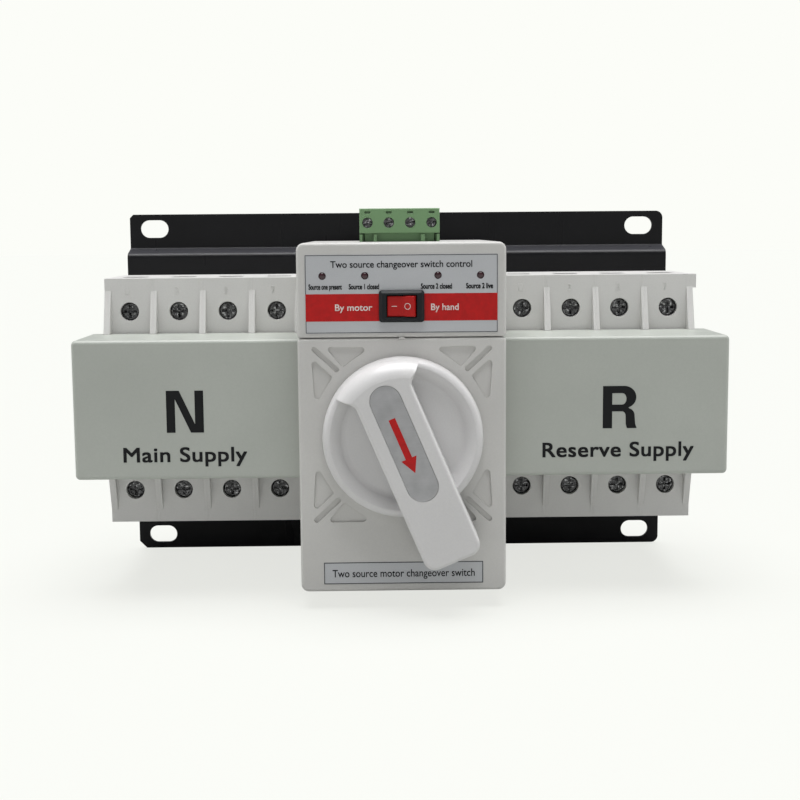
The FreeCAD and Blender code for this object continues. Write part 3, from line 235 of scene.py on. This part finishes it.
def metal(name, colour, roughness, stretch=(1, 1, 0.05), scratch=0.25 * MM, dull=0.8):
    """Bare or plated metal: drawn-out tool marks and a patchy dull film."""
    finish = Finish(name)
    finish.use("Metallic", 1.0)
    patches = finish.between(finish.noise(5 * MM, 4.0), 0, 1)
    finish.use("Base Color", finish.blend(patches, colour, scaled(colour, dull)))
    marks = finish.noise(scratch, 2.0, stretch)
    finish.use("Roughness", finish.between(marks, roughness - 0.08, roughness + 0.12))
    finish.relief([(marks, 0.015 * MM), (finish.noise(3 * MM, 2.0), 0.03 * MM)], 0.12 * MM)
    return finish.material


def screw_plating(name, colour):
    """Passivated zinc, dented by the driver, its dark tone partly painted shade of the terminal holes, with a few
    bright spots that are painted glints.
    """
    finish = Finish(name)
    finish.use("Metallic", 1.0)
    patches = finish.between(finish.noise(1.6 * MM, 3.0), 0, 1)
    base = finish.blend(patches, scaled(colour, 0.5), colour)
    # Bright spots are painted glints, which are also smoother.
    painted_glints = finish.noise(1.1 * MM, 2.0)
    base = finish.blend(finish.between(painted_glints, 0, 1, 0.55, 0.66), base, scaled(colour, 3.2))
    finish.use("Base Color", base)
    finish.use("Roughness", finish.between(painted_glints, 0.34, 0.18))
    dents = (finish.noise(1.3 * MM, 2.0), 0.9 * MM)
    finish.relief([dents, (finish.noise(0.3 * MM, 1.0), 0.03 * MM)], 0.15 * MM)
    return finish.material


def ink(name, colour):
    """Pad-printed ink: a slightly uneven film with pinholes."""
    finish = Finish(name)
    cover = finish.noise(1.6 * MM, 3.0)
    base = finish.blend(finish.between(cover, 0, 1), scaled(colour, 0.9), scaled(colour, 1.12))
    pinholes = finish.between(finish.noise(0.22 * MM, 1.0), 0, 0.4, 0.72, 0.85)
    finish.use("Base Color", finish.blend(pinholes, base, scaled(colour, 2.0)))
    finish.use("Specular IOR Level", 0.25)
    finish.use("Roughness", finish.between(cover, 0.44, 0.58))
    finish.relief([(finish.noise(0.3 * MM, 2.0), 0.006 * MM)], 0.02 * MM)
    return finish.material


def foil(name, colour):
    """Printed silver label film: fine sparkle under a satin top layer."""
    finish = Finish(name)
    sparkle = finish.cells(0.16 * MM)
    glints = finish.between(sparkle, 0, 0.5, 0.1, 0.6)
    base = finish.blend(glints, scaled(colour, 1.12), scaled(colour, 0.85))
    wave = finish.noise(18 * MM, 2.0)
    base = finish.blend(finish.between(wave, 0, 0.3), base, scaled(colour, 1.15))
    finish.use("Base Color", base)
    finish.use("Roughness", finish.between(wave, 0.36, 0.46))
    finish.use("Metallic", 0.15)
    finish.relief([(wave, 0.08 * MM), (sparkle, 0.004 * MM)], 0.1 * MM)
    return finish.material


def lamp_resin(name, colour):
    """Dark tinted epoxy of an unlit indicator."""
    finish = Finish(name)
    depth = finish.noise(1.2 * MM, 2.0)
    base = finish.blend(finish.between(depth, 0, 1), scaled(colour, 0.7), scaled(colour, 1.5))
    finish.use("Base Color", base)
    finish.use("Roughness", finish.between(depth, 0.12, 0.22))
    finish.use("Coat Weight", 0.6)
    finish.use("Coat Roughness", 0.08)
    finish.relief([(finish.noise(0.9 * MM, 1.0), 0.02 * MM)], 0.1 * MM)
    return finish.material


def circuit_board(name, colour):
    """Solder mask over copper tracks."""
    finish = Finish(name)
    tracks = finish.cells(3.2 * MM)
    base = finish.blend(finish.between(tracks, 0, 1, 0.44, 0.5), colour, scaled(colour, 1.9))
    finish.use("Base Color", base)
    finish.use("Roughness", finish.between(finish.noise(6 * MM), 0.25, 0.4))
    finish.relief([(tracks, 0.03 * MM)], 0.1 * MM)
    return finish.material


# Plastics: colour, roughness, size and depth of the grain, then coat and shine.
MATERIALS = {
    "plate_black": painted("black_paint", srgb(22, 22, 24)),
    "pole_grey": moulded("pole_plastic", srgb(221, 220, 218), 0.42, *mm(0.5, 0.014)),
    "cover_grey": moulded("cover_plastic", srgb(180, 184, 177), 0.4, *mm(0.3, 0.006)),
    "housing_grey": moulded("housing_plastic", srgb(204, 203, 200), 0.44, *mm(0.45, 0.014)),
    "handle_white": moulded("handle_plastic", srgb(214, 213, 213), 0.36, *mm(0.6, 0.006), coat=0.15),
    "plaque_steel": metal("plaque_metal", srgb(182, 182, 184), 0.42, (0.04, 0.04, 1), 0.12 * MM, 0.82),
    "label_silver": foil("label_film", srgb(186, 188, 191)),
    "zinc_steel": metal("zinc_plate", srgb(176, 178, 180), 0.34),
    # Screw colour kept dark, partly as painted shade of the terminal holes.
    "screw_steel": screw_plating("screw_zinc", srgb(108, 108, 109)),
    "copper": metal("bare_copper", srgb(196, 118, 82), 0.3),
    "brass_gear": metal("gear_brass", srgb(200, 166, 92), 0.32),
    "nylon_white": moulded("nylon", srgb(214, 211, 200), 0.38, *mm(0.6, 0.01)),
    "toggle_black": moulded("black_plastic", srgb(24, 28, 31), 0.42, *mm(0.4, 0.01), shine=0.25),
    "board_green": circuit_board("board_mask", srgb(28, 74, 46)),
    "lamp_red": lamp_resin("lamp_epoxy", srgb(50, 9, 21)),
    "rocker_red": moulded("rocker_plastic", srgb(178, 20, 18), 0.34, *mm(0.7, 0.004), 0.05, 0.25),
    "terminal_green": moulded("terminal_plastic", srgb(116, 152, 108), 0.44, *mm(0.5, 0.012)),
}
BLACK_INK = ink("ink_black", srgb(14, 15, 18))
RED_INK = ink("ink_red", srgb(184, 24, 24))
WHITE_INK = ink("ink_white", srgb(226, 216, 212))
BORDER_INK = ink("ink_border", srgb(70, 73, 77))

for subpart in frame["record"]["subparts"]:
    mesh = nodes[subpart["node"]].data
    mesh.materials.clear()
    mesh.materials.append(MATERIALS[subpart["material_slot"]])


# ================================================================ helpers for pieces
def front_of(node):
    """The y of a node's front face."""
    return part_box(node)[0].y


def link(name, data):
    """A new object in the scene."""
    item = bpy.data.objects.new(name, data)
    bpy.context.scene.collection.objects.link(item)
    return item


def place(mesh, name, material, body):
    """A mesh as a piece of one material, riding on a body and filling a material slot."""
    piece = link(name, mesh)
    mesh.materials.clear()
    mesh.materials.append(material)
    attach(piece, body)


def film(name, polygons, front, thickness):
    """Thin layer on a front face: polygons of (x, z) in metres, standing forward from front."""
    shape = bmesh.new()
    for polygon in polygons:
        shape.faces.new([shape.verts.new((x, front, z)) for x, z in polygon])
    bmesh.ops.remove_doubles(shape, verts=shape.verts, dist=WELD_DISTANCE)
    grown = bmesh.ops.extrude_face_region(shape, geom=shape.faces[:])
    moved = [item for item in grown["geom"] if isinstance(item, bmesh.types.BMVert)]
    bmesh.ops.translate(shape, verts=moved, vec=(0, -thickness, 0))
    bmesh.ops.recalc_face_normals(shape, faces=shape.faces)
    mesh = bpy.data.meshes.new(name)
    shape.to_mesh(mesh)
    shape.free()
    return mesh


def rectangle(x0, x1, z0, z1):
    """Corners of an upright rectangle."""
    return [(x0, z0), (x1, z0), (x1, z1), (x0, z1)]


def inset(outer, line):
    """The rectangle (x0, x1, z0, z1) inside a border of a given width."""
    return (outer[0] + line, outer[1] - line, outer[2] + line, outer[3] - line)


def hollow_rectangle(outer, inner):
    """Four strips between an outer and an inner (x0, x1, z0, z1)."""
    big = rectangle(*outer)
    small = rectangle(*inner)
    return [[big[k], big[k - 3], small[k - 3], small[k]] for k in range(4)]


def arc(centre, radii, start, end, steps):
    """Points along part of an ellipse, by angles in degrees."""
    angles = [math.radians(start + (end - start) * k / steps) for k in range(steps + 1)]
    return [(centre[0] + radii[0] * math.cos(a), centre[1] + radii[1] * math.sin(a)) for a in angles]


def mesh_of(curve):
    """The mesh of a curve or a text, which is then deleted."""
    source = link(curve.name, curve)
    bpy.context.view_layer.update()
    graph = bpy.context.evaluated_depsgraph_get()
    mesh = bpy.data.meshes.new_from_object(source.evaluated_get(graph))
    bpy.data.objects.remove(source)
    bpy.data.curves.remove(curve)
    return mesh


def stencil(name, loops, x_span, z_span, front, thickness):
    """Flat shape cut out by closed loops of points from (0, 0) to (1, 1), fitted to a span of x and z."""
    curve = bpy.data.curves.new(name, "CURVE")
    curve.dimensions = "2D"
    curve.fill_mode = "BOTH"
    curve.extrude = thickness / 2
    for loop in loops:
        spline = curve.splines.new("POLY")
        spline.points.add(len(loop) - 1)
        for point, (x, z) in zip(spline.points, loop):
            point.co = (x * (x_span[1] - x_span[0]), z * (z_span[1] - z_span[0]), 0, 1)
        spline.use_cyclic_u = True
    mesh = mesh_of(curve)
    corner = Matrix.Translation((x_span[0], front - thickness / 2, z_span[0]))
    mesh.transform(corner @ Matrix.Rotation(math.pi / 2, 4, "X"))
    return mesh


def glyphs(words, weight, spacing):
    """Flat mesh of some words at font size 1, with strokes thickened by a weight."""
    curve = bpy.data.curves.new("words", "FONT")
    curve.body = words
    curve.space_character = spacing
    curve.extrude = HALF_THICKNESS
    curve.resolution_u = LETTER_SMOOTHNESS
    mesh = mesh_of(curve)
    if weight == 0:
        return mesh
    points = [vertex.co.copy() for vertex in mesh.vertices]
    faces = [list(polygon.vertices) for polygon in mesh.polygons]
    heavy_points, heavy_faces = [], []
    for copy, (across, up) in enumerate(((-1, -1), (-1, 1), (1, -1), (1, 1))):
        first = len(heavy_points)
        shift = Vector((across * weight, up * weight, COPY_STEP * copy))
        heavy_points += [point + shift for point in points]
        heavy_faces += [[first + index for index in face] for face in faces]
    heavy = bpy.data.meshes.new("words")
    heavy.from_pydata(heavy_points, [], heavy_faces)
    bpy.data.meshes.remove(mesh)
    return heavy


def capital_height(weight):
    """Foot and top of a capital at font size 1."""
    sample = glyphs("H", weight, 1.0)
    heights = [vertex.co.y for vertex in sample.vertices]
    bpy.data.meshes.remove(sample)
    return min(heights), max(heights)


def lettering(name, words, span, baseline, height, front, material,
              weight=0.0, spacing=1.0, thickness=PRINT_THICKNESS):
    """Words printed on a front face between two x, with a given baseline and height of capitals."""
    mesh = glyphs(words, weight, spacing)
    foot, top = capital_height(weight)
    across = [vertex.co.x for vertex in mesh.vertices]
    left = min(across)
    stretch = (span[1] - span[0]) / (max(across) - left)
    rise = height / (top - foot)
    for vertex in mesh.vertices:
        x, y, depth = vertex.co
        vertex.co = (
            span[0] + (x - left) * stretch,
            front - (depth + HALF_THICKNESS) * thickness,
            baseline + (y - foot) * rise,
        )
    mesh.name = name
    place(mesh, name, material, "base")


# ================================================================ control label
def control_label_prints():
    """Border, red band and words on the silver label."""
    low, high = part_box("control_label")
    front = low.y
    margin, line = mm(0.1, 0.22)
    outer = (low.x + margin, high.x - margin, low.z + margin, high.z - margin)
    border = film("label_border", hollow_rectangle(outer, inset(outer, line)), front, LINE_THICKNESS)
    place(border, "label_border", BORDER_INK, "base")

    band = (outer[0], outer[1], 31.0 * MM, 40.2 * MM)
    opening = mm(-6.9, 6.9, 31.4, 40.1)
    red = film("label_band", hollow_rectangle(band, opening), front, BAND_THICKNESS)
    place(red, "label_band", RED_INK, "base")

    title = "Two source changeover switch control"
    title_foot, title_height = mm(48.96, 2.25)
    lettering("label_title", title, mm(-23.8, 23.8), title_foot, title_height, front, BLACK_INK,
              weight=0.012)
    captions = {
        "Source one present": (-31.2, -20.0),
        "Source 1 closed": (-17.7, -7.5),
        "Source 2 closed": (6.5, 17.0),
        "Source 2 live": (21.7, 30.8),
    }
    caption_foot, caption_height = mm(41.7, 1.85)
    for words, span in captions.items():
        name = "label_caption_" + words.lower().replace(" ", "_")
        lettering(name, words, mm(*span), caption_foot, caption_height, front, BLACK_INK, weight=0.035)
    word_foot, word_height = mm(34.55, 2.2)
    for words, span in {"By motor": (-22.4, -9.9), "By hand": (9.9, 19.2)}.items():
        name = "label_word_" + words.lower().replace(" ", "_")
        lettering(name, words, mm(*span), word_foot, word_height, front - BAND_THICKNESS, WHITE_INK,
                  weight=0.012)


# ================================================================ name label
def name_label():
    """Silver plate with a border and the name of the switch, at the foot of the front."""
    front = front_of("drive_cover")
    outer = mm(-27.4, 27.4, -59.6, -52.0)
    plate_thickness, line = mm(0.12, 0.3)
    plate = film("name_plate", [rectangle(*outer)], front, plate_thickness)
    place(plate, "name_plate", MATERIALS["label_silver"], "base")
    face = front - plate_thickness
    border = film("name_border", hollow_rectangle(outer, inset(outer, line)), face, LINE_THICKNESS)
    place(border, "name_border", BORDER_INK, "base")
    words = "Two source motor changeover switch"
    foot, height = mm(-57.2, 2.6)
    lettering("name_words", words, mm(-24.5, 24.5), foot, height, face, BLACK_INK, weight=0.008)


# ================================================================ cover prints
def letter_n():
    """Outline of a bold grotesque N."""
    stem = 0.235
    slant = 0.35
    notch = 0.8
    return [[
        (0, 0), (0, 1), (slant, 1), (1 - stem, 1 - notch), (1 - stem, 1), (1, 1),
        (1, 0), (1 - slant, 0), (stem, notch), (stem, 0),
    ]]


def letter_r():
    """Outline of a bold grotesque R and its counter."""
    stem = 0.275
    outer = [(0, 0), (0, 1)]
    outer += arc((0.62, 0.735), (0.36, 0.265), 90, -68, 16)
    outer += arc((0.70, 0.30), (0.235, 0.18), 72, 0, 8)
    outer += [(0.955, 0.1), (1, 0), (0.71, 0), (0.675, 0.1)]
    outer += arc((0.56, 0.29), (0.11, 0.11), 0, 90, 6)
    outer += [(stem, 0.40), (stem, 0)]
    counter = [(stem, 0.56), (stem, 0.83)]
    counter += arc((0.565, 0.695), (0.125, 0.135), 90, -90, 12)
    return [outer, counter]


def cover_prints():
    """A large letter and two words on each cover."""
    front = front_of("reserve_cover")
    for name, loops, x_span, z_span in (
            ("letter_normal", letter_n(), (-81.7, -68.8), (-7.88, 6.8)),
            ("letter_reserve", letter_r(), (70.0, 81.9), (-7.85, 7.0))):
        mesh = stencil(name, loops, mm(*x_span), mm(*z_span), front, PRINT_THICKNESS)
        place(mesh, name, BLACK_INK, "base")
    for name, words, span, baseline in (
            ("words_reserve", "Reserve Supply", (49.0, 102.0), -17.9),
            ("words_normal", "Main Supply", (-97.0, -54.0), -18.2)):
        lettering(name, words, mm(*span), baseline * MM, 5.2 * MM, front, BLACK_INK,
                  weight=0.018, spacing=1.05)


# ================================================================ arrow on the handle
def handle_arrow():
    """Red arrow along the lever, with the handle in its rest position at lower right."""
    pivot = Vector(joints["handle_turn"]["pos_m"])
    rest = math.radians(23.0)
    tail, neck, tip = mm(-8.6, 5.6, 10.9)
    shaft, head, middle = mm(1.15, 2.7, -0.5)
    outline = [
        (-shaft, tail), (shaft, tail), (shaft, neck), (head, neck),
        (0, tip), (-head, neck), (-shaft, neck),
    ]
    points = []
    for lateral, along in outline:
        side = lateral + middle
        x = side * math.cos(rest) + along * math.sin(rest)
        z = pivot.z + side * math.sin(rest) - along * math.cos(rest)
        points.append((x, z))
    mesh = film("handle_arrow", [points], front_of("handle_plaque"), PRINT_THICKNESS)
    place(mesh, "handle_arrow", RED_INK, "handle")


# ================================================================ rocker symbols
def rocker_symbols():
    """A bar on the pressed half and a ring on the raised half of the rocker."""
    pivot = Vector(joints["rocker_tilt"]["pos_m"])
    tilt = math.radians(joints["rocker_tilt"]["range_deg"][1] / 2)
    rest = Matrix.Translation(pivot) @ Matrix.Rotation(-tilt, 4, "Z")
    fold, reach = mm(0.9, 2.3)
    half_rise, half_width = 0.97, 4.9
    slope = math.atan2(half_rise, half_width)

    def on_half(mesh, side):
        """From the plane y = 0 to one half of the folded front."""
        turn = Matrix.Rotation(-side * slope, 4, "Z")
        centre = Vector((side * reach * math.cos(slope), -fold - reach * math.sin(slope), 0))
        mesh.transform(rest @ Matrix.Translation(centre) @ turn)

    bar = film("rocker_bar", [rectangle(*mm(-0.9, 0.9, -0.11, 0.11))], 0, PRINT_THICKNESS)
    on_half(bar, -1)
    place(bar, "rocker_bar", WHITE_INK, "rocker")
    outer_r, inner_r = mm(1.1, 0.9)
    sides = 32
    ring = []
    for k in range(sides):
        start, end = 2 * math.pi * k / sides, 2 * math.pi * (k + 1) / sides
        corners = ((inner_r, start), (outer_r, start), (outer_r, end), (inner_r, end))
        ring.append([(radius * math.cos(a), radius * math.sin(a)) for radius, a in corners])
    mesh = film("rocker_ring", ring, 0, PRINT_THICKNESS)
    on_half(mesh, 1)
    place(mesh, "rocker_ring", WHITE_INK, "rocker")


# ================================================================ moulded marks
def pole_numbers():
    """Small raised numbers above the upper terminals."""
    shoulder = -53.5 * MM
    half_width = 0.75 * MM
    foot, height, thickness = mm(38.8, 2.6, 0.15)
    for source in ("normal", "reserve"):
        for k, mark in enumerate("1357"):
            low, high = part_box(f"{source}_pole_case_{k + 1}")
            middle = (low.x + high.x) / 2
            span = (middle - half_width, middle + half_width)
            lettering(f"{source}_number_{k + 1}", mark, span, foot, height, shoulder,
                      MATERIALS["pole_grey"], thickness=thickness)


def seam_catch():
    """Small catch in the middle of the joint between the two centre housings."""
    front = front_of("drive_cover")
    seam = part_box("drive_cover")[1].z
    drop, recess, thickness = mm(0.35, 1.0, 1.15)
    outline = arc((0, seam - drop), mm(1.3, 0.75), 0, 180, 12)
    outline.reverse()
    mesh = film("seam_catch", [outline], front + recess, thickness)
    place(mesh, "seam_catch", MATERIALS["housing_grey"], "base")


control_label_prints()
name_label()
cover_prints()
handle_arrow()
rocker_symbols()
pole_numbers()
seam_catch()


# ================================================================ stage, light and camera
PAPER_WHITE = srgb(252, 253, 248)


def pale_floor():
    """Round pale floor at the foot of the switch; the camera sees darker paper with a glow."""
    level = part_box("base_plate")[0].z - 0.2 * MM
    disc = bmesh.new()
    bmesh.ops.create_circle(disc, cap_ends=True, segments=96, radius=8.0)
    bmesh.ops.translate(disc, verts=disc.verts, vec=(0, 0, level))
    mesh = bpy.data.meshes.new("floor")
    disc.to_mesh(mesh)
    disc.free()
    floor = link("floor", mesh)
    finish = Finish("floor_paper")
    tone = finish.between(finish.noise(0.4, 2.0), 0, 1)
    finish.use("Base Color", finish.blend(tone, srgb(183, 184, 181), srgb(187, 188, 185)))
    finish.use("Roughness", finish.between(finish.noise(0.1, 2.0), 0.8, 0.95))
    finish.use("Specular IOR Level", 0.0)
    paper = finish.add("ShaderNodeBsdfDiffuse")
    paper.inputs["Color"].default_value = srgb(108, 109, 107)
    glow = finish.add("ShaderNodeEmission")
    glow.inputs["Color"].default_value = PAPER_WHITE
    glow.inputs["Strength"].default_value = 0.76
    both = finish.add("ShaderNodeAddShader")
    finish.join(paper.outputs["BSDF"], both.inputs[0])
    finish.join(glow.outputs["Emission"], both.inputs[1])
    for_camera(finish.tree, finish.shader.outputs["BSDF"], both.outputs["Shader"], "Material Output")
    mesh.materials.append(finish.material)


def for_camera(tree, lighting, seen, end):
    """One shader for the light that bounces and another for what the camera sees."""
    path = tree.nodes.new("ShaderNodeLightPath")
    mix = tree.nodes.new("ShaderNodeMixShader")
    tree.links.new(path.outputs["Is Camera Ray"], mix.inputs["Fac"])
    tree.links.new(lighting, mix.inputs[1])
    tree.links.new(seen, mix.inputs[2])
    tree.links.new(mix.outputs["Shader"], tree.nodes[end].inputs["Surface"])


def surroundings():
    """Even pale surroundings: the camera sees paper white, the object gets a gentler fill."""
    world = bpy.data.worlds.new("studio")
    bpy.context.scene.world = world
    world.use_nodes = True
    tree = world.node_tree
    seen = tree.nodes["Background"]
    seen.inputs["Color"].default_value = PAPER_WHITE
    seen.inputs["Strength"].default_value = 1.0
    fill = tree.nodes.new("ShaderNodeBackground")
    fill.inputs["Color"].default_value = srgb(250, 251, 255)
    fill.inputs["Strength"].default_value = 0.15
    for_camera(tree, fill.outputs["Background"], seen.outputs["Background"], "World Output")


def soft_sun(name, elevation, azimuth, spread, strength):
    """Even light from a wide patch of sky: degrees above level, and round from the front to the right."""
    data = bpy.data.lights.new(name, "SUN")
    data.energy = strength
    data.angle = math.radians(spread)
    light = link(name, data)
    up, round_z = math.radians(elevation), math.radians(azimuth)
    level = math.cos(up)
    source = Vector((level * math.sin(round_z), -level * math.cos(round_z), math.sin(up)))
    light.rotation_euler = source.to_track_quat("Z", "Y").to_euler()


def camera():
    """Camera in front of the switch, a little above it and looking down."""
    data = bpy.data.cameras.new("camera")
    data.sensor_width = 36.0
    data.lens = 61.7
    data.clip_end = 50
    view = link("camera", data)
    bpy.context.scene.camera = view
    position = Vector((-7.73, -559.75, 61.17)) * MM
    yaw, pitch, roll = math.radians(0.86), math.radians(7.04), math.radians(-0.46)
    forward = Vector((
        math.sin(yaw) * math.cos(pitch), math.cos(yaw) * math.cos(pitch), -math.sin(pitch)))
    level = Vector((math.cos(yaw), -math.sin(yaw), 0))
    upright = level.cross(forward)
    right = math.cos(roll) * level + math.sin(roll) * upright
    top = math.cos(roll) * upright - math.sin(roll) * level
    turn = Matrix((right, top, -forward)).transposed().to_4x4()
    view.matrix_world = Matrix.Translation(position) @ turn


pale_floor()
surroundings()
for name, elevation, azimuth, spread, strength in (
        ("overhead", 88, 0, 50, 3.8),
        ("front_left", 3, -30, 60, 0.29),
        ("front_right", 3, 34, 60, 0.27),
        ("side_left", 15, -98, 40, 0.8),
        ("side_right", 15, 98, 40, 0.8)):
    soft_sun(name, elevation, azimuth, spread, strength)
bpy.context.scene.view_settings.view_transform = "Standard"
camera()
